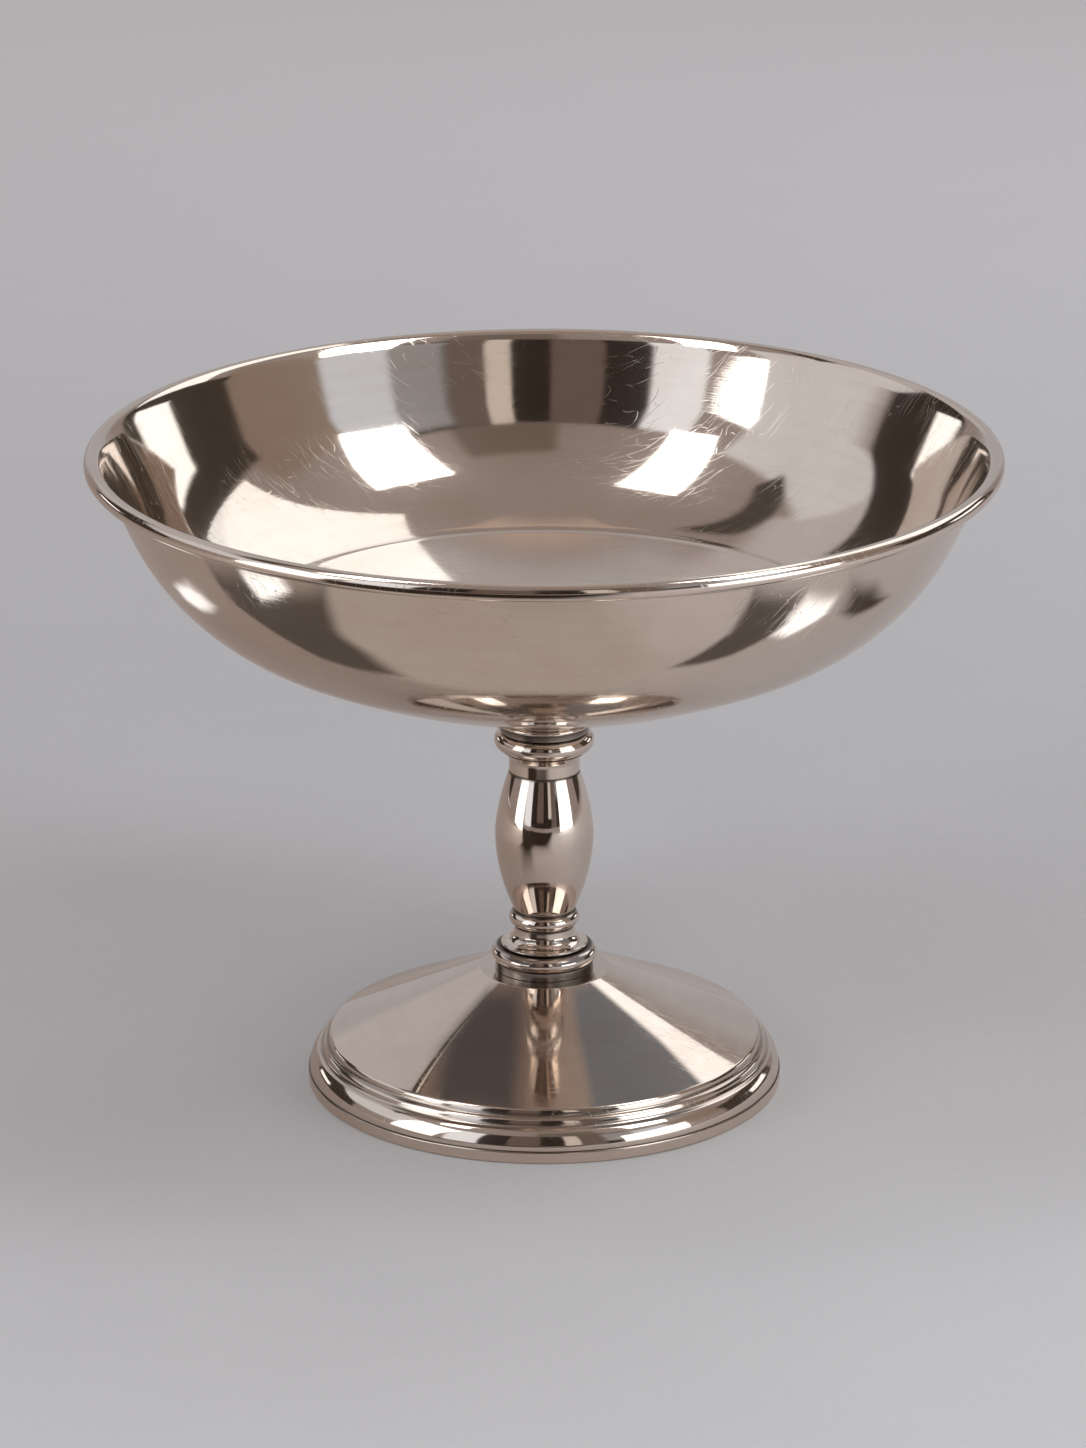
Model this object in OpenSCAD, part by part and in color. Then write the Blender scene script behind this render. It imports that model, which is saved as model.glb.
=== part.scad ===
// Footed compote bowl: a spun bowl with a wired rim on a turned baluster stem and a spun foot.
// A tie rod runs up through the stem and clamps the foot, the stem rings and the bowl boss together.
// Millimetres, +Z up, origin on the resting plane at the centre of the foot.

/* [Bowl] */
// Diameter across the rolled rim
bowl_d = 240; // [190:1:300]
// Thickness of the spun bowl sheet
bowl_t = 1.1; // [0.8:0.1:1.5]
// Diameter of the rolled rim
roll_d = 4.5; // [4:0.1:7]
// Radius of the flat seat under the middle of the bowl
seat_r = 12; // [12:0.5:20]
// Radius of the fold around the seat
seat_fold_r = 3; // [2:0.5:6]
// Slope of the cone around the seat, in degrees
floor_cone_slope = 19.5; // [14:0.5:21]
// Radius of that cone, as a share of the bowl diameter
floor_cone_share = 0.2425; // [0.2:0.0025:0.28]
// Radius of the ring where the floor meets the haunch, as a share of the bowl diameter
floor_ring_share = 0.3375; // [0.3:0.0025:0.36]
// Slope of the floor at that ring, in degrees
floor_slope = 26; // [23:0.2:27.6]
// Radius of the crease along the ring
ring_fold_r = 3; // [2:0.5:6]
// Slope at which the haunch leaves the ring, in degrees
haunch_slope = 28.2; // [28:0.2:34]
// Radius of the haunch arc, as a share of the bowl diameter
haunch_share = 0.263; // [0.22:0.001:0.28]
// Slope of the wall above the haunch, in degrees
wall_slope = 65.2; // [60:0.2:70]
// Outward turn of the wall just below the roll, in degrees
lip_turn = 12; // [4:1:18]
// Radius of that outward turn
lip_turn_r = 12; // [6:1:16]
// Angle left open between the end of the roll and the wall
roll_open = 18; // [14:1:60]

/* [Bowl boss] */
// Thickness of the boss flange between the stem cup and the bowl
boss_flange_t = 0.7; // [0.5:0.1:2]
// Radius of the boss flange
boss_flange_r = 11.6; // [9.5:0.1:11.9]
// Radius of the boss inside the stem cup
boss_plug_r = 8.5; // [7:0.1:9]
// Depth of the threaded socket in the boss
socket_depth = 3.6; // [2.4:0.1:3.8]

/* [Stem] */
// Height of the stem cup
cup_h = 3; // [2.8:0.1:6]
// Radius of the cup lip
cup_lip_r = 12.6; // [12.5:0.1:13.8]
// Radius of the cup at its base
cup_base_r = 11.8; // [10.6:0.1:11.8]
// Thickness of the cup lip
cup_lip_t = 1.1; // [0.6:0.1:1.2]
// Height of the upper half-round ring
upper_ring_h = 5.3; // [4.2:0.1:6]
// Radius of the upper ring
upper_ring_r = 13.3; // [12.8:0.1:16]
// Height of the neck collar
neck_h = 6; // [5.2:0.1:9]
// Radius of the plain band on the neck collar
neck_r = 9.4; // [8:0.1:10.4]
// Radius of the hollow flare on the neck collar
neck_flare_r = 3; // [2:0.1:3]
// Height of the baluster
baluster_h = 39; // [30:0.5:60]
// Largest radius of the baluster
belly_r = 13.15; // [11:0.05:18]
// Height of the widest place, as a share of the baluster height
belly_share = 0.555; // [0.4:0.005:0.7]
// Radius at the foot of the baluster
baluster_base_r = 8.15; // [7:0.05:10]
// Fullness of the baluster below the widest place
belly_low_power = 1.95; // [1.4:0.05:2.6]
// Fullness of the baluster above the widest place
belly_high_power = 1.6; // [1.2:0.05:2.4]
// Height of the lower bead ring
bead_h = 4.7; // [4.4:0.1:6]
// Radius of the lower bead ring
bead_ring_r = 9.4; // [8.8:0.1:12]
// Radius of the round on the bead ring
bead_round_r = 2.2; // [1.6:0.1:2.2]
// Height of the spool
spool_h = 5.5; // [5:0.1:9]
// Largest radius of the small bead at the foot of the spool
spool_bead_r = 11.65; // [11.2:0.05:11.8]
// Radius of the round on that bead
spool_round_r = 0.55; // [0.4:0.05:0.7]
// Slope of the shelf above the bead, in degrees
spool_shelf_slope = 10; // [4:1:14]
// Radius of the hollow of the spool
spool_hollow_r = 3; // [2:0.1:3.2]
// Lean of the spool throat, in degrees
spool_lean = 5; // [1:1:8]
// Radius of the spool throat at its top
spool_throat_r = 7.95; // [7.6:0.05:8.1]
// Height of the base ring
base_ring_h = 6.5; // [6.2:0.1:9]
// Radius of the round on the base ring
base_round_r = 2.1; // [1.8:0.05:2.2]
// Largest radius of the round on the base ring
base_torus_r = 14.1; // [13.8:0.05:14.7]
// Radius of the band on which the base ring stands on the foot
base_stand_r = 13.1; // [12.9:0.1:14]
// Radius of the crease between the band and the round
base_crease_r = 12.7; // [12.2:0.1:12.8]

/* [Foot] */
// Diameter of the foot
foot_d = 127; // [100:1:170]
// Thickness of the spun foot sheet
foot_t = 1.1; // [0.8:0.1:1.3]
// Radius of the flat collar on top of the foot
collar_r = 17; // [16:0.1:22]
// Slope of the foot cone, in degrees
cone_slope = 24.2; // [18:0.2:32]
// Inside radius of the fold at the edge of the collar
shoulder_fold_r = 0.4; // [0.2:0.1:2]
// Inside radius of the folds along the edges of the border
border_fold_r = 0.2; // [0.05:0.05:0.6]
// Slope of the risers of the border, in degrees
border_fall = 80; // [70:1:88]
// Height of the upper riser
upper_step = 0.5; // [0.2:0.1:1.5]
// Radius of the hollow below the upper riser
upper_cove_r = 1.2; // [0.6:0.1:2]
// Slope at which the upper hollow ends, in degrees
upper_cove_slope = 25; // [10:1:40]
// Height of the lower riser
lower_step = 0.2; // [0.1:0.1:1.5]
// Radius of the hollow below the lower riser
lower_cove_r = 1.5; // [0.6:0.1:2.5]
// Slope at which the lower hollow ends, in degrees
lower_cove_slope = 15; // [5:1:40]
// Slope at which the ovolo starts, in degrees
ovolo_slope = 45; // [42:1:60]
// Radius of the ovolo
ovolo_r = 6.9; // [5:0.1:10]
// Height of the base wire under the foot
base_wire_h = 3.3; // [2:0.1:6]
// Width of the base wire
base_wire_w = 4; // [3:0.1:8]
// Projection of the base wire past the ovolo
base_wire_step = 0.35; // [0.1:0.05:0.8]
// Softening of the base wire edges
base_wire_soft = 0.3; // [0.1:0.1:0.6]

/* [Tie rod] */
// Diameter of the tie rod
rod_d = 5; // [4:0.5:6]
// Length of rod that stands out of the nut
rod_end = 2.4; // [1:0.1:5]
// Height of the nut
nut_h = 4; // [3:0.1:6]
// Width of the nut across flats
nut_flats = 8; // [7.5:0.1:11]
// Chamfer height on the nut and the rod ends
nut_chamfer = 0.5; // [0.2:0.1:0.8]
// Thickness of the spring washer
spring_washer_t = 1.3; // [0.8:0.1:2]
// Width of the ring of the spring washer
spring_washer_w = 2; // [1.6:0.1:3]
// Width of the slit in the spring washer
spring_washer_slit = 0.8; // [0.4:0.1:1.5]
// Thickness of the spreader washer
spreader_t = 1.5; // [1:0.1:3]
// Diameter of the spreader washer
spreader_d = 29; // [18:1:31]

/* [Fits] */
// Radius of the spigots that centre the stem pieces
spigot_r = 5; // [4.6:0.1:6]
// Height of the spigots
spigot_h = 0.8; // [0.4:0.1:1]
// Radial clearance of the spigots and end clearance in their recesses
spigot_clear = 0.1; // [0.05:0.05:0.3]
// Radial clearance around the tie rod in the stem
bore_clear = 0.3; // [0.1:0.05:0.6]
// Radial clearance between threads that are drawn plain
thread_clear = 0.05; // [0.02:0.01:0.15]
// Radial clearance of the wire inside the rolled rim
wire_clear = 0.05; // [0.02:0.01:0.15]

/* [Hidden] */

round_steps = 180;
hex_sides = 6;
// Largest distance between a drawn chord and its arc
chord_error = 0.01;
// Drawn points on each half of the baluster outline
baluster_steps = 24;
// How far a cut runs past the face it opens
overrun = 1;

silver_color = [0.80, 0.76, 0.71];
steel_color = [0.58, 0.59, 0.60];
brass_color = [0.76, 0.62, 0.36];

// Turn of the hollow flare on the neck collar, and slope of the nut chamfer, in degrees
neck_flare_turn = 70;
nut_chamfer_slope = 30;

bore_r = rod_d / 2 + bore_clear;
thread_r = rod_d / 2 + thread_clear;
recess_r = spigot_r + spigot_clear;
recess_depth = spigot_h + spigot_clear;

// Outlines are walked in the half plane right of the axis as points [radius, height].
// A move is [length] for a straight run or [radius, turn] for an arc, with left turns positive.
function ahead(heading) = [cos(heading), sin(heading)];
function left_of(heading) = [-sin(heading), cos(heading)];
function turn_of(move) = len(move) == 1 ? 0 : move[1];
function last(list) = list[len(list) - 1];
function flipped(list) = [for (i = [len(list) - 1 : -1 : 0]) list[i]];
function arc_steps(radius, turn) = ceil(abs(turn) / (2 * acos(1 - min(chord_error / radius, 0.5))));

// Points after the start of one arc, with its radius changed by the offset to a parallel path on the left
function arc_points(start, heading, radius, turn, offset_left) =
    let (side = sign(turn), real_r = radius - side * offset_left, steps = arc_steps(radius, turn))
    let (middle = start + side * real_r * left_of(heading))
    [for (i = [1 : steps]) middle - side * real_r * left_of(heading + turn * i / steps)];

function move_points(start, heading, move, offset_left) =
    len(move) == 1 ? [start + move[0] * ahead(heading)]
                   : arc_points(start, heading, move[0], move[1], offset_left);

// Points of a whole walk after its start
function walk(start, heading, moves, offset_left = 0, i = 0) =
    i == len(moves) ? [] :
    let (points = move_points(start, heading, moves[i], offset_left))
    concat(points, walk(last(points), heading + turn_of(moves[i]), moves, offset_left, i + 1));

// Both faces of a sheet: the walked face and a parallel face on its left
function sheet(start, heading, moves, offset_left) =
    let (other = start + offset_left * left_of(heading))
    concat([start], walk(start, heading, moves),
           flipped(concat([other], walk(other, heading, moves, offset_left))));

// A stem piece: spigot below, skin outside, recess above, bore inside
function stem_outline(bottom, height, skin) =
    let (top = bottom + height)
    concat([[bore_r, bottom - spigot_h], [spigot_r, bottom - spigot_h], [spigot_r, bottom]], skin,
           [[recess_r, top], [recess_r, top - recess_depth], [bore_r, top - recess_depth]]);

// Foot outline, from the collar outwards over the upper face
hole_r = spigot_r + spigot_clear;
foot_edge_r = foot_d / 2 - base_wire_step;
foot_start = [[collar_r - hole_r], [foot_t + shoulder_fold_r, -cone_slope]];
border_r = foot_t + border_fold_r;
foot_border = [[border_r, cone_slope - border_fall],
               [upper_step],
               [upper_cove_r, border_fall - upper_cove_slope],
               [border_r, upper_cove_slope - border_fall],
               [lower_step],
               [lower_cove_r, border_fall - lower_cove_slope],
               [border_r, lower_cove_slope - ovolo_slope],
               [ovolo_r, ovolo_slope - 90]];
foot_reach = last(walk([hole_r, 0], 0, concat(foot_start, foot_border)))[0];
cone_length = (foot_edge_r - foot_reach) / cos(cone_slope);
foot_moves = concat(foot_start, [[cone_length]], foot_border);
foot_top = base_wire_h - last(walk([hole_r, 0], 0, foot_moves))[1];

// Heights of the pieces, stacked from the foot to the bowl
base_ring_z = foot_top;
spool_z = base_ring_z + base_ring_h;
lower_ring_z = spool_z + spool_h;
baluster_z = lower_ring_z + bead_h;
neck_z = baluster_z + baluster_h;
upper_ring_z = neck_z + neck_h;
cup_z = upper_ring_z + upper_ring_h;
boss_z = cup_z + spigot_clear;
flange_z = cup_z + cup_h;
bowl_z = flange_z + boss_flange_t;

// Heights of the clamping pieces, stacked downwards from the foot
spreader_z = foot_top - foot_t - spreader_t;
spring_washer_z = spreader_z - spring_washer_t;
nut_z = spring_washer_z - nut_h;
rod_bottom = nut_z - rod_end;
socket_bottom = cup_z - spigot_h;
socket_top = socket_bottom + socket_depth;
rod_top = socket_top - nut_chamfer;

// Bowl outline, from the axis outwards over the lower face
roll_r = roll_d / 2;
roll_hollow_r = roll_r - bowl_t;
roll_axis_r = bowl_d / 2 - roll_r;
floor_cone_r = floor_cone_share * bowl_d;
floor_cone_run = (floor_cone_r - seat_r - seat_fold_r * sin(floor_cone_slope)) / cos(floor_cone_slope);
floor_r = (floor_ring_share * bowl_d - floor_cone_r) / (sin(floor_slope) - sin(floor_cone_slope));
haunch_r = haunch_share * bowl_d;
lip_slope = wall_slope - lip_turn;
bowl_start = [[seat_r], [seat_fold_r, floor_cone_slope], [floor_cone_run],
              [floor_r, floor_slope - floor_cone_slope], [ring_fold_r, haunch_slope - floor_slope],
              [haunch_r, wall_slope - haunch_slope]];
bowl_lip = [lip_turn_r, -lip_turn];
lip_reach = last(walk([0, 0], 0, concat(bowl_start, [bowl_lip])))[0];
lip_end_r = roll_axis_r - roll_hollow_r * sin(lip_slope);
wall_length = (lip_end_r - lip_reach) / cos(wall_slope);
roll_turn = 360 - acos(roll_hollow_r / roll_r) - roll_open;
wall_moves = concat(bowl_start, [[wall_length], bowl_lip]);
roll_axis_z = bowl_z + last(walk([0, 0], 0, wall_moves))[1] - roll_hollow_r * cos(lip_slope);

// A ring-shaped solid from a closed outline
module turned(outline) {
    rotate_extrude($fn = round_steps) polygon(outline);
}

// Spun bowl: flat seat, coned and dished floor, creased ring, haunch, wall and rim rolled over outwards
module bowl() {
    color(silver_color)
    turned(sheet([0, bowl_z], 0, concat(wall_moves, [[roll_hollow_r, -roll_turn]]), bowl_t));
}

// Stiffening wire inside the rolled rim
module rim_wire() {
    color(brass_color)
    rotate_extrude($fn = round_steps)
    translate([roll_axis_r, roll_axis_z])
    circle(r = roll_hollow_r - wire_clear, $fn = round_steps);
}

// Boss soldered under the bowl: a flange on the stem cup, a plug inside it and a blind threaded socket
module bowl_boss() {
    color(silver_color)
    turned([[thread_r, socket_bottom], [spigot_r, socket_bottom], [spigot_r, boss_z], [boss_plug_r, boss_z],
            [boss_plug_r, flange_z], [boss_flange_r, flange_z], [boss_flange_r, bowl_z], [0, bowl_z],
            [0, socket_top], [thread_r, socket_top]]);
}

// Cup with a flared lip at the head of the stem, open for the plug of the boss
module stem_cup() {
    plug_hole_r = boss_plug_r + spigot_clear;
    lip_r = cup_lip_t / 2;
    flare_r = cup_lip_r - lip_r - cup_base_r;
    rise = cup_h - cup_lip_t - flare_r;
    skin = walk([cup_base_r, cup_z], 90, [[rise], [flare_r, -90], [lip_r, 180]]);
    color(silver_color)
    turned(concat([[plug_hole_r, cup_z], [cup_base_r, cup_z]], skin, [[plug_hole_r, flange_z]]));
}

// Upper half-round ring
module upper_ring() {
    edge = [upper_ring_r - upper_ring_h / 2, upper_ring_z];
    color(silver_color)
    turned(stem_outline(upper_ring_z, upper_ring_h,
                        concat([edge], walk(edge, 0, [[upper_ring_h / 2, 180]]))));
}

// Collar between the baluster and the upper ring: plain band below, hollow flare above
module neck_collar() {
    skin = walk([neck_r, neck_z], 90, [[neck_h - neck_flare_r], [neck_flare_r, -neck_flare_turn]]);
    color(silver_color)
    turned(stem_outline(neck_z, neck_h,
                        concat([[neck_r, neck_z]], skin, [[last(skin)[0], upper_ring_z]])));
}

// Baluster, swelling from its foot to the belly and drawn in again to the neck
module baluster() {
    low_h = baluster_h * belly_share;
    high_h = baluster_h - low_h;
    belly_z = baluster_z + low_h;
    low = [for (i = [baluster_steps : -1 : 0]) let (t = i / baluster_steps)
           [belly_r - (belly_r - baluster_base_r) * pow(t, belly_low_power), belly_z - t * low_h]];
    high = [for (i = [1 : baluster_steps]) let (t = i / baluster_steps)
            [belly_r - (belly_r - neck_r) * pow(t, belly_high_power), belly_z + t * high_h]];
    color(silver_color)
    turned(stem_outline(baluster_z, baluster_h, concat(low, high)));
}

// Lower bead ring between plain fillets
module lower_ring() {
    round_angle = acos(1 - (bead_ring_r - baluster_base_r) / bead_round_r);
    fillet_h = bead_h / 2 - bead_round_r * sin(round_angle);
    low = [[baluster_base_r, lower_ring_z], [baluster_base_r, lower_ring_z + fillet_h]];
    skin = walk(low[1], 90 - round_angle, [[bead_round_r, 2 * round_angle]]);
    color(silver_color)
    turned(stem_outline(lower_ring_z, bead_h, concat(low, skin, [[baluster_base_r, baluster_z]])));
}

// Spool: small bead below, sloping shelf, hollow and leaning throat above
module spool() {
    shelf = [spool_bead_r - spool_round_r, spool_z + 2 * spool_round_r];
    bend = [spool_hollow_r, spool_shelf_slope + spool_lean - 90];
    bent = last(walk(shelf, 180 - spool_shelf_slope, [bend]));
    run = bent[0] - spool_throat_r;
    rise = lower_ring_z - bent[1];
    spread = cos(spool_shelf_slope + spool_lean);
    shelf_run = (run * cos(spool_lean) - rise * sin(spool_lean)) / spread;
    throat_run = (rise * cos(spool_shelf_slope) - run * sin(spool_shelf_slope)) / spread;
    edge = [shelf[0], spool_z];
    skin = concat([edge], walk(edge, 0, [[spool_round_r, 180]]),
                  walk(shelf, 180 - spool_shelf_slope, [[shelf_run], bend, [throat_run]]));
    color(silver_color)
    turned(stem_outline(spool_z, spool_h, skin));
}

// Base ring: plain band below, crease and round above
module base_ring() {
    round_axis_r = base_torus_r - base_round_r;
    round_start = asin((base_crease_r - round_axis_r) / base_round_r);
    crease_z = spool_z - base_round_r - base_round_r * cos(round_start);
    crease = [base_crease_r, crease_z];
    color(silver_color)
    turned(stem_outline(base_ring_z, base_ring_h,
                        concat([[base_stand_r, base_ring_z], [base_stand_r, crease_z], crease],
                               walk(crease, round_start, [[base_round_r, 180 - round_start]]))));
}

// Spun foot: flat collar, straight cone and a stepped border, open below
module foot() {
    color(silver_color)
    turned(sheet([hole_r, foot_top], 0, foot_moves, -foot_t));
}

// Base wire soldered under the border; its lower face is the resting face
module base_wire() {
    outer_r = foot_d / 2;
    inner_r = outer_r - base_wire_w;
    color(silver_color)
    turned([[inner_r, base_wire_soft], [inner_r + base_wire_soft, 0], [outer_r - base_wire_soft, 0],
            [outer_r, base_wire_soft], [outer_r, base_wire_h - base_wire_soft],
            [outer_r - base_wire_soft, base_wire_h], [inner_r, base_wire_h]]);
}

// Tie rod from the socket in the boss to below the nut
module tie_rod() {
    rod_r = rod_d / 2;
    end_r = rod_r - nut_chamfer;
    color(steel_color)
    turned([[0, rod_bottom], [end_r, rod_bottom], [rod_r, rod_bottom + nut_chamfer],
            [rod_r, rod_top - nut_chamfer], [end_r, rod_top], [0, rod_top]]);
}

// Broad washer that spreads the clamping force under the collar
module spreader_washer() {
    color(brass_color)
    turned([[bore_r, spreader_z], [spreader_d / 2, spreader_z],
            [spreader_d / 2, spreader_z + spreader_t], [bore_r, spreader_z + spreader_t]]);
}

// Split spring washer, drawn clamped flat
module spring_washer() {
    outer_r = bore_r + spring_washer_w;
    color(steel_color)
    difference() {
        turned([[bore_r, spring_washer_z], [outer_r, spring_washer_z],
                [outer_r, spreader_z], [bore_r, spreader_z]]);
        translate([0, -spring_washer_slit / 2, spring_washer_z - overrun])
        cube([outer_r + overrun, spring_washer_slit, spring_washer_t + 2 * overrun]);
    }
}

// Hexagon nut with both faces chamfered
module nut() {
    corner_r = nut_flats / 2 / cos(180 / hex_sides);
    face_r = corner_r - nut_chamfer / tan(nut_chamfer_slope);
    color(steel_color)
    difference() {
        intersection() {
            translate([0, 0, nut_z]) cylinder(r = corner_r, h = nut_h, $fn = hex_sides);
            turned([[0, nut_z], [face_r, nut_z], [corner_r, nut_z + nut_chamfer],
                    [corner_r, spring_washer_z - nut_chamfer], [face_r, spring_washer_z],
                    [0, spring_washer_z]]);
        }
        translate([0, 0, nut_z - overrun])
        cylinder(r = thread_r, h = nut_h + 2 * overrun, $fn = round_steps);
    }
}

bowl();
rim_wire();
bowl_boss();
stem_cup();
upper_ring();
neck_collar();
baluster();
lower_ring();
spool();
base_ring();
foot();
base_wire();
tie_rod();
spreader_washer();
spring_washer();
nut();
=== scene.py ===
"""Looks of a footed compote bowl: turned silver pieces, their worn polish, a pale studio and the camera."""

import math

import bpy
import numpy as np
from mathutils import Matrix, Vector


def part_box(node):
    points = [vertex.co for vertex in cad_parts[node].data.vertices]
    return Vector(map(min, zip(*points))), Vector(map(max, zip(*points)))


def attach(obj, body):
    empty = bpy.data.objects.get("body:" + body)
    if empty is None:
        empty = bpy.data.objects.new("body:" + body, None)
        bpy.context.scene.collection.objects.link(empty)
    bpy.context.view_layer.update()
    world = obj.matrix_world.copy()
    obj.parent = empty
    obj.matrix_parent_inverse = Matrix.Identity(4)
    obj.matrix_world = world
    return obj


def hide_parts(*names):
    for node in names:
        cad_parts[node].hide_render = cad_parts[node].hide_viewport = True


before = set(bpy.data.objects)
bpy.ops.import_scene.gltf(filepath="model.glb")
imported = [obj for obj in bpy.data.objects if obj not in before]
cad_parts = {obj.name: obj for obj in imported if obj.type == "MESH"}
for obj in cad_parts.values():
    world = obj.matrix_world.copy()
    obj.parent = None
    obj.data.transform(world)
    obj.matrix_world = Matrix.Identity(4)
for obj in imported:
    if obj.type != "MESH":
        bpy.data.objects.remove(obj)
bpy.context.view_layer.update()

MM = 0.001
MICRON = 1e-6

# Camera
PHOTO_SIDE = 1448
FOCAL_PIXELS = 6318
SENSOR = 36
CAMERA_PLACE = (-0.35 * MM, -1582.7 * MM, 639.55 * MM)
CAMERA_DOWN = math.radians(18.842)
VIEW_END = 20

# Outlines
SAME_CIRCLE = 0.004 * MM
PLACE_DIGITS = 6
CORNER_TURN = math.radians(32)
CORNER_STEPS = 4
CORNER_SHARE = 0.45
LONGEST_STEP = 2.2 * MM
END_STEPS = (0.25 * MM, 0.6 * MM, 1.2 * MM)
TIGHT_HOLLOW = 1.2 * MM
HOLLOW_START = 0.5
CREVICE_REACH = 0.45 * MM
JOINT_REACH = 0.25 * MM
SCORE_STEP = 0.2 * MM
SCORE_REACH = 3.0

# Thread of the tie rod
THREAD_PITCH = 0.8 * MM
THREAD_DEPTH = 0.42 * MM
THREAD_TURNS = 12
THREAD_STEPS = 8
THREAD_SIDES = 48
ROD_CHAMFER = 0.5 * MM


def outline_of(node):
    """Half section of a turned CAD node as ordered (radius, height) points, and whether it is closed."""
    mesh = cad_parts[node].data
    places = np.array([v.co for v in mesh.vertices])
    flat = np.column_stack([np.hypot(places[:, 0], places[:, 1]), places[:, 2]])
    spots, spot_of = np.unique(flat.round(PLACE_DIGITS), axis=0, return_inverse=True)
    near = np.linalg.norm(spots[:, None] - spots[None], axis=2) < SAME_CIRCLE
    circle = near.argmax(axis=1)[spot_of.ravel()]
    beside = {}
    for edge in mesh.edges:
        a, b = (int(circle[v]) for v in edge.vertices)
        if a != b:
            beside.setdefault(a, set()).add(b)
            beside.setdefault(b, set()).add(a)
    ends = sorted(k for k, found in beside.items() if len(found) == 1)
    chain = [ends[0] if ends else min(beside)]
    while True:
        after = sorted(beside[chain[-1]] - set(chain))
        if not after:
            break
        chain.append(after[0])
    points = spots[chain]
    if ends:
        points = np.vstack([[0, points[0, 1]], points, [0, points[-1, 1]]])
    following = np.roll(points, -1, axis=0)
    area = np.sum(points[:, 0] * following[:, 1] - following[:, 0] * points[:, 1])
    return (points if area > 0 else points[::-1]), not ends


def softened(points, closed, radius):
    """The outline with its corners rounded to the radius, or less where a side is short."""
    made = []
    count = len(points)
    for i, point in enumerate(points):
        if not closed and i in (0, count - 1):
            made.append(point)
            continue
        back = points[i - 1] - point
        on = points[(i + 1) % count] - point
        back_length, on_length = np.linalg.norm(back), np.linalg.norm(on)
        back_way, on_way = back / back_length, on / on_length
        turn = math.pi - math.acos(np.clip(back_way @ on_way, -1, 1))
        if turn < CORNER_TURN:
            made.append(point)
            continue
        cut = min(radius * math.tan(turn / 2), CORNER_SHARE * back_length, CORNER_SHARE * on_length)
        start, end = point + cut * back_way, point + cut * on_way
        middle_way = (back_way + on_way) / np.linalg.norm(back_way + on_way)
        centre = point + middle_way * cut / math.sin(turn / 2)
        bow = np.linalg.norm(start - centre)
        for k in range(CORNER_STEPS + 1):
            spot = start + (end - start) * k / CORNER_STEPS - centre
            made.append(centre + spot * bow / np.linalg.norm(spot))
    return np.array(made)


def outward(points, closed):
    """Normals along an outline; the longer of two neighbouring runs has the greater say."""
    runs = np.roll(points, -1, axis=0) - points
    if not closed:
        runs[-1] = 0
    across = np.column_stack([runs[:, 1], -runs[:, 0]])
    both = across + np.roll(across, 1, axis=0)
    return both / np.linalg.norm(both, axis=1)[:, None]


def finer(points, normals, closed, longest, ends=END_STEPS):
    """The outline with extra points on long runs, closer together near the ends of a run.

    The longest step is a function of the radius at the middle of a run.
    """
    made, turned = [], []
    count = len(points)
    for i in range(count if closed else count - 1):
        j = (i + 1) % count
        length = np.linalg.norm(points[j] - points[i])
        parts = math.ceil(length / longest((points[i] + points[j])[0] / 2))
        shares = {k / parts for k in range(parts)}
        if parts > 1:
            shares |= {step / length for step in ends if step < length / 2}
            shares |= {1 - step / length for step in ends if step < length / 2}
        for share in sorted(shares):
            made.append(points[i] * (1 - share) + points[j] * share)
            turned.append(normals[i] * (1 - share) + normals[j] * share)
    if not closed:
        made.append(points[-1])
        turned.append(normals[-1])
    return np.array(made), np.array(turned)


def scored(points, normals, closed, score):
    """The outline with a shallow line turned into its upper face.

    The score is the radius of the line, its half width and its depth.
    """
    radius, width, deep = score
    reach = SCORE_REACH * width

    def limit(r):
        return SCORE_STEP if abs(r - radius) < reach else LONGEST_STEP

    points, normals = finer(points, normals, closed, limit, ())
    off = (points[:, 0] - radius) / width
    cut = np.where(normals[:, 1] > 0, deep * np.exp(-(off ** 2)), 0)
    changed = points - normals * cut[:, None]
    turned = np.where(np.abs(off)[:, None] < SCORE_REACH, outward(changed, closed), normals)
    return changed, turned


def crevices(points, closed, joints):
    """How deep in a tight hollow or a joint each outline point lies, from 0 to 1."""
    back = points - np.roll(points, 1, axis=0)
    on = np.roll(points, -1, axis=0) - points
    turn = np.arctan2(back[:, 0] * on[:, 1] - back[:, 1] * on[:, 0], np.sum(back * on, axis=1))
    length = (np.linalg.norm(back, axis=1) + np.linalg.norm(on, axis=1)) / 2
    hollow = np.clip(-turn / length * TIGHT_HOLLOW - HOLLOW_START, 0, 1)
    if not closed:
        hollow[[0, -1]] = 0
    apart = np.linalg.norm(points[:, None] - points[None], axis=2)
    depth = np.max(hollow[None] * np.exp(-((apart / CREVICE_REACH) ** 2)), axis=1)
    for height in joints:
        depth = np.maximum(depth, np.exp(-(((points[:, 1] - height) / JOINT_REACH) ** 2)))
    return depth


def stand_in(mesh, node, material):
    """An object of the mesh and the material, shown in place of a CAD node."""
    mesh.materials.append(material)
    piece = bpy.data.objects.new(node + "_looks", mesh)
    bpy.context.scene.collection.objects.link(piece)
    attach(piece, "root")
    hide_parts(node)


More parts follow.
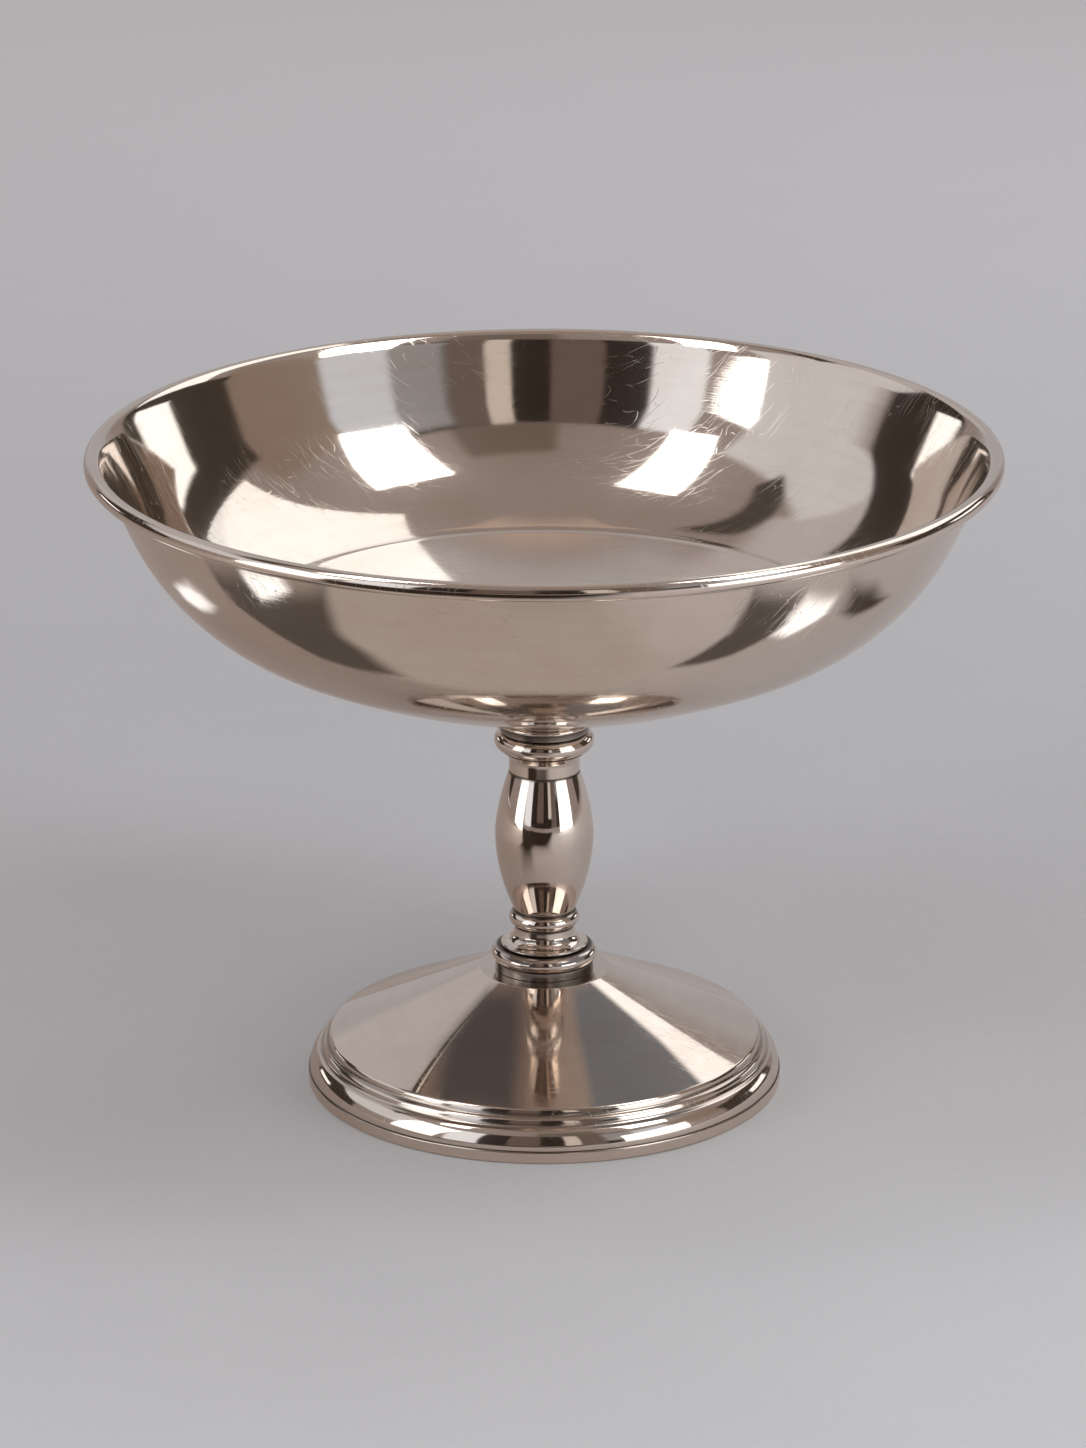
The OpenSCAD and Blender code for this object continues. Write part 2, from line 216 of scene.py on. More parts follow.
def turned_piece(node, material, sides, soft, joints=(), score=None):
    """A smooth turned piece for a CAD node: the node's outline, softened and swept round the axis."""
    points, closed = outline_of(node)
    points = softened(points, closed, soft)
    points, normals = finer(points, outward(points, closed), closed, lambda r: LONGEST_STEP)
    if score:
        points, normals = scored(points, normals, closed, score)
    depth = crevices(points, closed, joints)
    rings, places, facing, shade = [], [], [], []
    angles = np.arange(sides) * 2 * math.pi / sides
    for (radius, height), (out, up), dark in zip(points, normals, depth):
        around = [0.0] if radius < SAME_CIRCLE else angles
        rings.append(range(len(places), len(places) + len(around)))
        for angle in around:
            c, s = math.cos(angle), math.sin(angle)
            places.append((radius * c, radius * s, height))
            facing.append((out * c, out * s, up))
            shade.append(dark)
    faces = []
    for low, high in zip(rings, rings[1:] + ([rings[0]] if closed else [])):
        for k in range(sides):
            m = (k + 1) % sides
            corners = [low[k % len(low)], low[m % len(low)], high[m % len(high)], high[k % len(high)]]
            faces.append(list(dict.fromkeys(corners)))
    mesh = bpy.data.meshes.new(node + "_looks")
    mesh.from_pydata(places, [], faces)
    mesh.shade_smooth()
    # The crevice depth drives painted shade with some tarnish in the metal's hollows and joints.
    mesh.attributes.new("crevice", "FLOAT", "POINT").data.foreach_set("value", shade)
    mesh.normals_split_custom_set_from_vertices(facing)
    stand_in(mesh, node, material)


def threaded_rod(node, material):
    """A rod with a thread cut into its lower end; it stays inside the CAD rod."""
    low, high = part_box(node)
    radius = high.x
    thread_top = low.z + THREAD_TURNS * THREAD_PITCH
    levels = [low.z + k * THREAD_PITCH / THREAD_STEPS for k in range(THREAD_TURNS * THREAD_STEPS + 1)]
    levels += [high.z - ROD_CHAMFER, high.z]
    places = []
    for z in levels:
        chamfered = radius - max(0, ROD_CHAMFER - min(z - low.z, high.z - z))
        depth = THREAD_DEPTH * min(1, max(0, (thread_top - z) / THREAD_PITCH))
        for k in range(THREAD_SIDES):
            angle = 2 * math.pi * k / THREAD_SIDES
            phase = (z / THREAD_PITCH - k / THREAD_SIDES) % 1
            r = min(chamfered, radius - depth * (1 - abs(2 * phase - 1)))
            places.append((r * math.cos(angle), r * math.sin(angle), z))
    faces = []
    for base in range(0, len(places) - THREAD_SIDES, THREAD_SIDES):
        for k in range(THREAD_SIDES):
            m = (k + 1) % THREAD_SIDES
            faces.append((base + k, base + m, base + m + THREAD_SIDES, base + k + THREAD_SIDES))
    ends = [range(THREAD_SIDES - 1, -1, -1), range(len(places) - THREAD_SIDES, len(places))]
    mesh = bpy.data.meshes.new(node + "_looks")
    mesh.from_pydata(places, [], faces + [tuple(end) for end in ends])
    mesh.polygons.foreach_set("use_smooth", [True] * len(faces) + [False] * len(ends))
    stand_in(mesh, node, material)


class Nodes:
    """Short calls that write the nodes of one material or world."""

    def __init__(self, tree):
        self.tree = tree

    def add(self, kind, inputs=(), **settings):
        node = self.tree.nodes.new("ShaderNode" + kind)
        for name, value in settings.items():
            setattr(node, name, value)
        for socket, value in dict(inputs).items():
            if isinstance(value, bpy.types.NodeSocket):
                self.tree.links.new(value, node.inputs[socket])
            else:
                node.inputs[socket].default_value = value
        return node

    def math(self, operation, a, b=0.0, c=0.0):
        return self.add("Math", {0: a, 1: b, 2: c}, operation=operation).outputs[0]

    def ramp(self, value, low, high, to_low=0.0, to_high=1.0):
        places = {"Value": value, "From Min": low, "From Max": high, "To Min": to_low, "To Max": to_high}
        return self.add("MapRange", places, interpolation_type="SMOOTHSTEP").outputs[0]

    def blend(self, factor, a, b):
        node = self.add("Mix", {0: factor, 6: a, 7: b}, data_type="RGBA")
        return node.outputs[2]

    def noise(self, place, scale, detail=2.0, rough=0.5):
        inputs = {"Vector": place, "Scale": scale, "Detail": detail, "Roughness": rough}
        return self.add("TexNoise", inputs).outputs["Fac"]

    def link(self, a, b):
        self.tree.links.new(a, b)


def new_material(name):
    material = bpy.data.materials.new(name)
    material.use_nodes = True
    material.node_tree.nodes.clear()
    return material, Nodes(material.node_tree)


# Metal: a film of tarnish in clouds, specks and streaks, brushing round the axis, and scratches.
CLOUD_SIZE = 26 * MM
SPECK_SIZE = 2.4 * MM
PATCH_SIZE = 34 * MM
WAVE_SIZE = 34 * MM
PATCH_NOISE = (0.40, 0.62)
FEWEST_SCRATCHES_SHARE = 0.25
FILM_NOISE = (0.3, 0.75)
THIN_FILM_SHARE = 0.4
SPECK_FILM_SHARE = 0.12
STREAK_FILM_SHARE = 0.2
STREAK_FILM_NOISE = (0.4, 0.7)
STREAK_SHINE_NOISE = (0.35, 0.65)
SHINY_SHARE = 0.8
DULL_SHARE = 1.2

# Brushing: width of a streak, and how quickly it changes along its length.
GRAIN = (0.45 * MM, 5.0)
STREAKS = (2.6 * MM, 2.2)
GRAIN_HEIGHT = 3.0

# Rows of scratches: turn in radians, spacing, length, share of places that hold one.
SCRATCH_ROWS = (
    (0.35, 1.3 * MM, 8 * MM, 0.5),
    (1.25, 1.1 * MM, 6 * MM, 0.5),
    (2.1, 1.6 * MM, 11 * MM, 0.45),
    (2.75, 2.2 * MM, 16 * MM, 0.4),
)
SCRATCH_WIDTH = 0.045 * MM
SCRATCH_DEPTH = 2.4
SCRATCH_DULLING = 0.16
SCRATCH_BEND = 1.6
SCRATCH_FADE = (0.25, 0.5)
ROW_SHIFT = 9.0

# Wear, and painted shade with some tarnish in hollows and joints
WORN_ROUGHNESS = 0.3
WORN_HEIGHTS = (128 * MM, 150 * MM)
HIGH_WORN_SHARE = 0.4
HOLLOW_SHADE_AND_TARNISH = (0.045, 0.030, 0.022, 1)
HOLLOW_SHADE_SHARE = 0.95
HOLLOW_DULLING = 0.3

# Colours of the metals and of the films on them
SILVER_COLOUR = (0.82, 0.73, 0.66, 1)
STEM_COLOUR = (0.83, 0.74, 0.67, 1)
BRASS_COLOUR = (0.78, 0.57, 0.28, 1)
STEEL_COLOUR = (0.56, 0.55, 0.53, 1)
BOWL_FILM = (0.48, 0.35, 0.25, 1)
FOOT_FILM = (0.44, 0.31, 0.22, 1)
STEM_FILM = (0.40, 0.28, 0.20, 1)
BRASS_FILM = (0.34, 0.22, 0.10, 1)
STEEL_FILM = (0.24, 0.19, 0.15, 1)


def scratches(n, place, turn, spacing, length, share):
    """Slightly bent scratches in rows across the level plane; the share is that of places that hold one."""
    across = {"Vector": place, "Rotation": (0, 0, turn), "Scale": (1 / length, 1 / spacing, 0)}
    laid = n.add("SeparateXYZ", {0: n.add("Mapping", across, vector_type="POINT").outputs[0]})
    row = n.math("FLOOR", laid.outputs[1])
    shift = n.add("TexWhiteNoise", {"W": row}, noise_dimensions="1D").outputs["Value"]
    along = n.math("MULTIPLY_ADD", shift, ROW_SHIFT, laid.outputs[0])
    cell = n.add("CombineXYZ", {0: n.math("FLOOR", along), 1: row}).outputs[0]
    drawn = n.add("TexWhiteNoise", {"Vector": cell}, noise_dimensions="2D").outputs["Color"]
    chance = n.add("SeparateColor", {0: drawn})
    x = n.math("SUBTRACT", n.math("FRACT", along), 0.5)
    y = n.math("SUBTRACT", n.math("FRACT", laid.outputs[1]), 0.5)
    slope = n.math("MULTIPLY", n.math("SUBTRACT", chance.outputs[1], 0.5), x)
    bend = n.math("MULTIPLY", n.math("SUBTRACT", chance.outputs[2], 0.5), n.math("MULTIPLY", x, x))
    off = n.math("ABSOLUTE", n.math("ADD", y, n.math("MULTIPLY_ADD", bend, SCRATCH_BEND, slope)))
    line = n.ramp(off, 0.0, SCRATCH_WIDTH / spacing, 1.0, 0.0)
    fade = n.ramp(n.math("ABSOLUTE", x), *SCRATCH_FADE, 1.0, 0.0)
    there = n.math("LESS_THAN", chance.outputs[0], share)
    return n.math("MULTIPLY", n.math("MULTIPLY", line, fade), there)


def brushing(n, place, fine, change):
    """Fine grain that runs round the axis, in streaks that fade in and out."""
    split = n.add("SeparateXYZ", {0: place})
    level = n.add("VectorMath", {0: place, 1: (1, 1, 0)}, operation="MULTIPLY").outputs[0]
    radius = n.add("VectorMath", {0: level}, operation="LENGTH").outputs["Value"]
    way = n.add("VectorMath", {0: level}, operation="NORMALIZE").outputs[0]
    way = n.add("VectorMath", {0: way, "Scale": change}, operation="SCALE").outputs[0]
    rise = n.add("CombineXYZ", {2: n.math("MULTIPLY", split.outputs[2], 1 / fine)}).outputs[0]
    spot = n.add("VectorMath", {0: way, 1: rise}, operation="ADD").outputs[0]
    ring = n.math("MULTIPLY", radius, 1 / fine)
    inputs = {"Vector": spot, "W": ring, "Scale": 1.0, "Detail": 2.0, "Roughness": 0.6}
    return n.add("TexNoise", inputs, noise_dimensions="4D").outputs["Fac"]


def polished(name, clean, film, film_share, rough, scratch, wave, worn):
    """A polished metal with a thin tarnish film, brushing round the axis, scratches, and hollows and joints
    darkened by painted shade with some tarnish.

    The worn share of the light is spread wide, as by countless fine scratches, and less so high on the bowl.
    """
    material, n = new_material(name)
    place = n.add("TexCoord").outputs["Object"]
    crevice = n.add("Attribute", attribute_name="crevice").outputs["Fac"]

    cloudy = n.noise(place, 1 / CLOUD_SIZE, 4.0, 0.6)
    specks = n.noise(place, 1 / SPECK_SIZE, 3.0, 0.65)
    patch = n.ramp(n.noise(place, 1 / PATCH_SIZE, 2.0), *PATCH_NOISE, FEWEST_SCRATCHES_SHARE, 1.0)

    brushed = brushing(n, place, *GRAIN)
    streaks = brushing(n, place, *STREAKS)
    marks = 0.0
    for row in SCRATCH_ROWS:
        marks = n.math("MAXIMUM", marks, scratches(n, place, *row))
    marks = n.math("MULTIPLY", marks, patch)

    waviness = n.noise(place, 1 / WAVE_SIZE, 1.0)
    height = n.math("MULTIPLY", waviness, wave)
    height = n.math("MULTIPLY_ADD", brushed, GRAIN_HEIGHT * scratch, height)
    height = n.math("MULTIPLY_ADD", marks, -SCRATCH_DEPTH * scratch, height)
    bump = n.add("Bump", {"Height": height, "Distance": MICRON, "Strength": 1.0})

    film_depth = n.ramp(cloudy, *FILM_NOISE, film_share * THIN_FILM_SHARE, film_share)
    film_depth = n.math("MULTIPLY_ADD", specks, SPECK_FILM_SHARE * film_share, film_depth)
    streaked = n.ramp(streaks, *STREAK_FILM_NOISE)
    film_depth = n.math("MULTIPLY_ADD", streaked, STREAK_FILM_SHARE * film_share, film_depth)
    colour = n.blend(film_depth, clean, film)
    # Painted shade with some tarnish: hollows and joints are darkened by how deep they lie.
    colour = n.blend(n.math("MULTIPLY", crevice, HOLLOW_SHADE_SHARE), colour, HOLLOW_SHADE_AND_TARNISH)
    shine = n.ramp(streaks, *STREAK_SHINE_NOISE, rough * SHINY_SHARE, rough * DULL_SHARE)
    shine = n.math("MULTIPLY_ADD", marks, SCRATCH_DULLING * scratch, shine)
    shine = n.math("MULTIPLY_ADD", crevice, HOLLOW_DULLING, shine)
    shader = n.add("BsdfPrincipled", {"Base Color": colour, "Metallic": 1.0, "Roughness": shine,
                                      "Normal": bump.outputs[0]})
    spread = n.add("BsdfPrincipled", {"Base Color": colour, "Metallic": 1.0, "Roughness": WORN_ROUGHNESS,
                                      "Normal": bump.outputs[0]})
    tall = n.add("SeparateXYZ", {0: place}).outputs[2]
    wear = n.ramp(tall, *WORN_HEIGHTS, worn, HIGH_WORN_SHARE * worn)
    mixed = n.add("MixShader", {0: wear, 1: shader.outputs[0], 2: spread.outputs[0]})
    n.link(mixed.outputs[0], n.add("OutputMaterial").inputs[0])
    return material


silver = polished(
    "silver", SILVER_COLOUR, BOWL_FILM, film_share=0.24, rough=0.055, scratch=1.5, wave=30.0, worn=0.13)
foot_silver = polished(
    "foot_silver", SILVER_COLOUR, FOOT_FILM, film_share=0.24, rough=0.050, scratch=1.2, wave=30.0, worn=0.07)
stem_silver = polished(
    "stem_silver", STEM_COLOUR, STEM_FILM, film_share=0.18, rough=0.035, scratch=0.4, wave=12.0, worn=0.03)
brass = polished(
    "brass", BRASS_COLOUR, BRASS_FILM, film_share=0.55, rough=0.28, scratch=2.0, wave=20.0, worn=0.2)
steel = polished(
    "steel", STEEL_COLOUR, STEEL_FILM, film_share=0.5, rough=0.3, scratch=2.0, wave=20.0, worn=0.2)

# Turned pieces
WIDE_SIDES = 232
STEM_SIDES = 160
SHEET_CORNER = 0.2 * MM
WIRE_CORNER = 0.3 * MM
BOSS_CORNER = 0.25 * MM
STEM_CORNER = 0.18 * MM
FLOOR_LINE = (80.6 * MM, 0.7 * MM, 0.10 * MM)
STEM = ["base_ring", "spool", "lower_ring", "baluster", "neck_collar", "upper_ring", "stem_cup"]
joints = [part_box(name)[1].z for name in ["foot", *STEM]]

turned_piece("bowl", silver, WIDE_SIDES, SHEET_CORNER, score=FLOOR_LINE)
turned_piece("foot", foot_silver, WIDE_SIDES, SHEET_CORNER)
turned_piece("base_wire", foot_silver, WIDE_SIDES, WIRE_CORNER, [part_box("base_wire")[1].z])
turned_piece("bowl_boss", stem_silver, STEM_SIDES, BOSS_CORNER)
for name in STEM:
    turned_piece(name, stem_silver, STEM_SIDES, STEM_CORNER, joints[:-1])

threaded_rod("tie_rod", steel)
HARDWARE = {"rim_wire": brass, "spreader_washer": brass, "spring_washer": steel, "nut": steel}
for name, material in HARDWARE.items():
    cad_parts[name].data.materials.clear()
    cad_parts[name].data.materials.append(material)


# Studio
TARGET = Vector((0, 0, 0.10))
FLOOR_RINGS = (0.055, 0.15, 0.4, 1.0, 2.0, 4.0)
FLOOR_SIDES = 96
# Paper colours with painted light: brighter in front and paler far away; far away it also glows for the
# camera.
NEAR_PAPER = (0.575, 0.575, 0.595, 1)
FRONT_PAPER = (0.68, 0.68, 0.70, 1)
FAR_PAPER = (0.88, 0.89, 0.92, 1)
FAR_PAINTED_GLOW = (0.055, 0.056, 0.062, 1)
WHITE = (1, 1, 1, 1)
BACKDROP = (0.50, 0.49, 0.50, 1)
# Tints of the floor seen only in the metal: a painted reflection, darker and warmer on the left.
LEFT_REFLECTION_TINT = (0.86, 0.74, 0.66, 1)
RIGHT_REFLECTION_TINT = (1.0, 0.96, 0.93, 1)
LAMP_TINT = (0.94, 0.98, 1.0)

# Paper: sizes of its grain and clouds, where painted light turns it pale far away and bright in front, and
# where its painted reflection turns warm in the metal.
GRAIN_SIZE = 3 * MM
PAPER_CLOUD_SIZE = 70 * MM
FLECK_NOISE = (0.3, 0.7)
FLECK_SHARE = 0.07
FAR_REACH = (0.1, 1.35)
FRONT_REACH = (-0.25, 0.22)
WARM_REACH = (-0.16, 0.14)
PAPER_ROUGHNESS = 0.75
PAPER_BUMP = 0.05 * MM

# Room seen in the metal: azimuths from and to, elevations from and to, rise per azimuth, soft edge, colour.
# Angles are in degrees. Azimuth 0 is towards the camera and positive to the right.
ROOM = {
    "upper back": (143, 217, 66, 79, 0, 8, (0.53, 0.42, 0.36)),
    "back": (155, 205, -10, 62, 0, 12, (0.46, 0.45, 0.46)),
    "left back": (-168, -118, 18, 53, 0, 6, (0.55, 0.53, 0.54)),
    "left wall": (-121, -66, 17, 45, 0, 4, (0.71, 0.72, 0.75)),
    "left slash": (-134, -92, 48.5, 57.5, -0.385, 3, (0.05, 0.04, 0.03)),
    "left gap": (-143, -104, -8, 25, -0.58, 3, (0.04, 0.03, 0.025)),
    "left sill": (-140, -127, 4, 9.5, 0, 2, (1.6, 1.6, 1.6)),
    "right side": (66, 100, 14, 38, 0, 4, (0.28, 0.22, 0.18)),
    "right panel": (45, 67, 17, 38, 0, 3, (0.66, 0.72, 0.80)),
    "right gap": (97, 143, -8, 27, 0, 3, (0.05, 0.04, 0.03)),
    "right sill": (119, 136, 5, 14, 0, 2, (1.6, 1.6, 1.6)),
    "front shade": (-5, 33, 43, 60, 0, 6, (0.17, 0.14, 0.12)),
    "left fill": (-49, -32, -10, 43, 0, 2.5, (0.98, 1.03, 1.1)),
    "dark front": (-32, 45, -35, 44, 0, 2.5, (0.026, 0.018, 0.014)),
    "front board": (-18, -2, 2, 44, 0, 2, (0.145, 0.11, 0.095)),
    "front post": (10, 18, 4, 44, 0, 1.5, (0.69, 0.63, 0.58)),
    "front right": (18, 30, -6, 44, 0, 3, (0.15, 0.12, 0.105)),
    "right dim": (30, 46, 12, 42, 0, 4, (0.32, 0.32, 0.33)),
}
CEILING = (0.31, 0.265, 0.25)
# Patches that cross azimuth 180 are measured from this azimuth on.
BEHIND = -145.0

# Dark and bright cards that show only in the metal, as painted shade and painted highlights in its
# reflections: height, share at full strength, corners, radiance.
# Heights and corners are in millimetres. Cards over the foot show from below, mostly in its cone.
# The others show from above. The raised ones lie below the bowl and show mostly in its outside.
# The glowing card in front is a painted reflection of the pale lit floor there, and hides the dark cards on
# the floor from the bowl.
ON_FLOOR = 0.5
OVER_FOOT = 45
RAISED = 75
DARK_CARD = (0.10, 0.085, 0.075)
BRIGHT_CARD = (1.7, 1.75, 1.8)
CARDS = {
    "front_dark_card": (ON_FLOOR, 0.7, [(-110, -125), (50, -125), (480, -1250), (-900, -1250)],
                   (0.03, 0.02, 0.015)),
    "dark_floor": (ON_FLOOR + 0.1, 0.6, [(-50, -26), (-22, -60), (-40, -110), (-60, -190), (-300, -1250),
                                         (-1300, -1000), (-220, -150), (-165, -70), (-110, -48)],
                   (0.035, 0.025, 0.018)),
    "front_floor_reflection": (RAISED, 0.7, [(-150, -60), (-52, -70), (0, -82), (35, -80), (62, -95), (62, -140),
                                  (35, -160), (-60, -165), (-150, -150)],
                    (0.45, 0.40, 0.37)),
    "left_wedge": (RAISED + 1, 0.70, [(-180, -5), (-168, -44), (-120, -112), (-97, -101), (-74, -96),
                                      (-48, -82), (-69, -66), (-86, -57), (-109, -50), (-135, -40),
                                      (-158, -28)],
                   DARK_CARD),
    "left_spot": (RAISED + 2, 0.6, [(-163, -44), (-141, -83), (-130, -88), (-143, -57), (-151, -51)],
                  BRIGHT_CARD),
    "far_left_spot": (RAISED, 0.4, [(-158, 76), (-168, 58), (-172, 28), (-164, 4), (-149, -9), (-139, 8),
                                    (-136, 34), (-143, 64)],
                      (1.4, 1.42, 1.45)),
    "right_wedge": (RAISED + 1, 0.68, [(118, -112), (145, -76), (106, -79), (81, -81), (62, -87), (48, -95),
                                       (70, -102), (89, -109), (104, -111)],
                    DARK_CARD),
    "right_spot": (RAISED + 2, 0.5, [(139, -77), (153, -46), (135, -54), (105, -68), (103, -83), (124, -85)],
                   BRIGHT_CARD),
    "right_corner": (RAISED + 1, 0.3, [(160, -50), (169, -10), (160, 28), (147, 10), (133, -24), (139, -50)],
                     (0.06, 0.045, 0.035)),
    "left_shade": (OVER_FOOT, 0.45, [(-24, 6), (-5, -5), (-2, -18), (-6, -62), (-50, -46), (-44, -10)],
                   (0.085, 0.075, 0.075)),
    "right_shade": (OVER_FOOT, 0.75, [(9, -8), (18, 2), (46, -4), (64, -14), (58, -42), (18, -60), (9, -18)],
                    (0.18, 0.19, 0.21)),
}

# Lamps: directions of the corners as azimuth and elevation in degrees, distance, radiance.
LAMPS = {
    "left_box": ([(-79, -6), (-49, -6), (-48, 36), (-67, 36)], 0.9, 1.7),
    "left_strip": ([(-66, 43), (-45, 48), (-80, 78), (-91, 69)], 1.0, 3.4),
    "right_box": ([(37, -6), (71, -6), (71, 18), (37, 18)], 0.9, 2.2),
    "right_top": ([(48, 41), (75, 40), (93, 62), (61, 70)], 1.1, 4.8),
    "right_window": ([(109, 26), (150, 27), (162, 51), (133, 70)], 1.4, 1.2),
}


def paper_floor():
    """A round sheet of grained paper, open under the foot, with painted light: paler and faintly glowing far
    away, and a little brighter in front.
    """
    angles = [2 * math.pi * k / FLOOR_SIDES for k in range(FLOOR_SIDES)]
    places = [(r * math.cos(a), r * math.sin(a), 0.0) for r in FLOOR_RINGS for a in angles]
    faces = []
    for ring in range(len(FLOOR_RINGS) - 1):
        low = ring * FLOOR_SIDES
        high = low + FLOOR_SIDES
        for k in range(FLOOR_SIDES):
            m = (k + 1) % FLOOR_SIDES
            faces.append((low + k, high + k, high + m, low + m))
    mesh = bpy.data.meshes.new("floor")
    mesh.from_pydata(places, [], faces)
    material, n = new_material("floor_paper")
    place = n.add("TexCoord").outputs["Object"]
    grain = n.noise(place, 1 / GRAIN_SIZE, 4.0, 0.6)
    cloud = n.noise(place, 1 / PAPER_CLOUD_SIZE, 3.0)
    tone = n.math("MULTIPLY_ADD", grain, 0.5, n.math("MULTIPLY", cloud, 0.5))
    # Painted light: the paper is paler far away and brighter in front.
    far = n.ramp(n.add("VectorMath", {0: place}, operation="LENGTH").outputs["Value"], *FAR_REACH)
    front = n.ramp(n.add("SeparateXYZ", {0: place}).outputs[1], *FRONT_REACH, 1.0, 0.0)
    colour = n.blend(far, n.blend(front, NEAR_PAPER, FRONT_PAPER), FAR_PAPER)
    colour = n.blend(n.ramp(tone, *FLECK_NOISE, 0.0, FLECK_SHARE), colour, WHITE)
    # Painted reflection: glossy rays see the floor darker and warmer to the left.
    across = n.ramp(n.add("SeparateXYZ", {0: place}).outputs[0], *WARM_REACH)
    reflection_tint = n.blend(across, LEFT_REFLECTION_TINT, RIGHT_REFLECTION_TINT)
    reflected_colour = n.add("Mix", {0: 1.0, 6: colour, 7: reflection_tint}, data_type="RGBA", blend_type="MULTIPLY").outputs[2]
    colour = n.blend(n.add("LightPath").outputs["Is Glossy Ray"], colour, reflected_colour)
    bump = n.add("Bump", {"Height": grain, "Distance": PAPER_BUMP, "Strength": 0.6})
    paper = {"Base Color": colour, "Roughness": PAPER_ROUGHNESS, "Normal": bump.outputs[0]}
    shader = n.add("BsdfPrincipled", paper)
    # Painted glow: the far paper shines a little for the camera.
    seen = n.math("MULTIPLY", n.add("LightPath").outputs["Is Camera Ray"], far)
    far_glow = n.add("Emission", {"Color": FAR_PAINTED_GLOW, "Strength": seen})
    lit = n.add("AddShader", {0: shader.outputs[0], 1: far_glow.outputs[0]})
    clear = n.add("BsdfTransparent")
    back = n.add("NewGeometry").outputs["Backfacing"]
    mixed = n.add("MixShader", {0: back, 1: lit.outputs[0], 2: clear.outputs[0]})
    n.link(mixed.outputs[0], n.add("OutputMaterial").inputs[0])
    mesh.materials.append(material)
    floor = bpy.data.objects.new("floor", mesh)
    bpy.context.scene.collection.objects.link(floor)


def level_card(name, height, core_share, corners, radiance):
    """A flat, level card with a soft edge that paints shade or a highlight into reflections, seen by glossy
    rays only and from one side.
    """
    count = len(corners)
    outer = [Vector((x, y, height)) * MM for x, y in corners]
    middle = sum(outer, Vector()) / count
    inner = [middle + (corner - middle) * core_share for corner in outer]
    faces = [list(range(count, 2 * count))]
    faces += [(k, (k + 1) % count, count + (k + 1) % count, count + k) for k in range(count)]
    mesh = bpy.data.meshes.new(name)
    mesh.from_pydata(outer + inner, [], faces)
    mesh.attributes.new("core", "FLOAT", "POINT").data.foreach_set("value", [0.0] * count + [1.0] * count)
    material, n = new_material(name)
    core = n.ramp(n.add("Attribute", attribute_name="core").outputs["Fac"], 0.0, 1.0)
    glow = n.add("Emission", {"Color": (*radiance, 1), "Strength": 1.0})
    side = "LESS_THAN" if height == OVER_FOOT else "GREATER_THAN"
    facing = n.add("SeparateXYZ", {0: n.add("NewGeometry").outputs["Normal"]}).outputs[2]
    core = n.math("MULTIPLY", core, n.math(side, facing, 0.0))
    mixed = n.add("MixShader", {0: core, 1: n.add("BsdfTransparent").outputs[0], 2: glow.outputs[0]})
    n.link(mixed.outputs[0], n.add("OutputMaterial").inputs[0])
    mesh.materials.append(material)
    card = bpy.data.objects.new(name, mesh)
    card.visible_camera = False
    card.visible_diffuse = False
    card.visible_shadow = False
    bpy.context.scene.collection.objects.link(card)


def direction(azimuth, elevation):
    """Unit vector of an azimuth and an elevation in degrees."""
    a, e = math.radians(azimuth), math.radians(elevation)
    return Vector((math.sin(a) * math.cos(e), -math.cos(a) * math.cos(e), math.sin(e)))


def softbox(name, corners, distance, radiance):
    """A rectangular lamp through four directions: low left, low right, high right, high left."""
    low_left, low_right, high_right, high_left = (direction(*corner) * distance for corner in corners)
    across = (low_right - low_left + high_right - high_left) / 2
    up = (high_left - low_left + high_right - low_right) / 2
    facing = across.cross(up).normalized()
    side = across.normalized() if across.length > up.length else up.cross(facing).normalized()
    rise = facing.cross(side)
    lamp = bpy.data.lights.new(name, "AREA")
    lamp.shape = "RECTANGLE"
    lamp.size, lamp.size_y = across.dot(side), up.dot(rise)
    lamp.energy = radiance * math.pi * lamp.size * lamp.size_y
    lamp.color = LAMP_TINT
    box = bpy.data.objects.new(name, lamp)
    place = TARGET + (low_left + low_right + high_right + high_left) / 4
    box.matrix_world = Matrix.LocRotScale(place, Matrix((side, rise, facing)).transposed(), None)
    box.visible_camera = False
    bpy.context.scene.collection.objects.link(box)


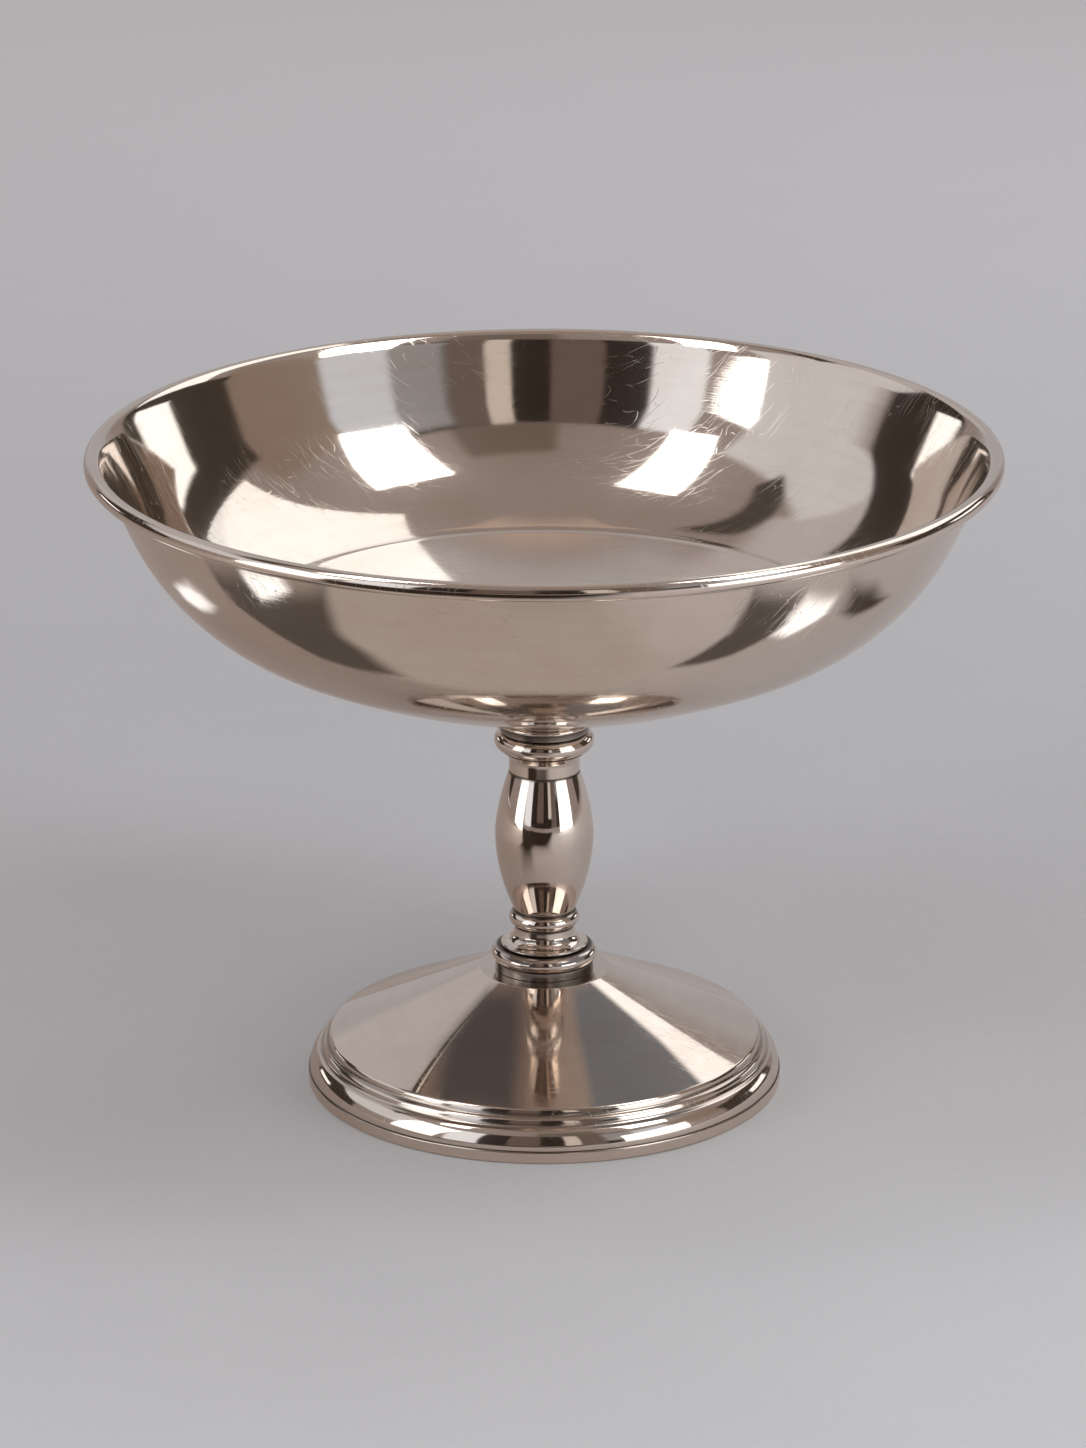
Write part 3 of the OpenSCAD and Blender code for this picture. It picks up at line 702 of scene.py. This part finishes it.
def between(n, value, low, high, soft):
    """1 between two limits and 0 outside, with soft edges."""
    rise = n.ramp(value, low - soft / 2, low + soft / 2)
    return n.math("MULTIPLY", rise, n.ramp(value, high - soft / 2, high + soft / 2, 1.0, 0.0))


def room():
    """Room around the object with lighter walls and dark gaps, pale where the camera looks straight at it."""
    world = bpy.data.worlds.new("room")
    bpy.context.scene.world = world
    world.use_nodes = True
    world.node_tree.nodes.clear()
    n = Nodes(world.node_tree)
    way = n.add("SeparateXYZ", {0: n.add("TexCoord").outputs["Generated"]})
    azimuth = n.math("DEGREES", n.math("ARCTAN2", way.outputs[0], n.math("MULTIPLY", way.outputs[1], -1.0)))
    around = n.math("ADD", azimuth, n.math("MULTIPLY", n.math("LESS_THAN", azimuth, BEHIND), 360.0))
    elevation = n.math("DEGREES", n.math("ARCSINE", way.outputs[2]))
    colour = (*CEILING, 1)
    for start, end, low, high, lean, soft, tone in ROOM.values():
        turn = around if end > 180 else azimuth
        inside = between(n, turn, start, end, soft)
        level = n.math("MULTIPLY_ADD", n.math("SUBTRACT", turn, (start + end) / 2), -lean, elevation)
        inside = n.math("MULTIPLY", inside, between(n, level, low, high, soft))
        colour = n.blend(inside, colour, (*tone, 1))
    seen = n.add("LightPath").outputs["Is Camera Ray"]
    colour = n.blend(seen, colour, BACKDROP)
    surface = n.add("Background", {"Color": colour, "Strength": 1.0})
    n.link(surface.outputs[0], n.add("OutputWorld").inputs[0])


paper_floor()
room()
for name, card in CARDS.items():
    level_card(name, *card)
for name, lamp in LAMPS.items():
    softbox(name, *lamp)

# View
camera_data = bpy.data.cameras.new("camera")
camera_data.sensor_width = SENSOR
camera_data.lens = FOCAL_PIXELS / PHOTO_SIDE * SENSOR
camera_data.clip_end = VIEW_END
camera = bpy.data.objects.new("camera", camera_data)
camera.location = CAMERA_PLACE
camera.rotation_euler = (math.pi / 2 - CAMERA_DOWN, 0, 0)
bpy.context.scene.collection.objects.link(camera)
bpy.context.scene.camera = camera
bpy.context.scene.view_settings.view_transform = "Standard"
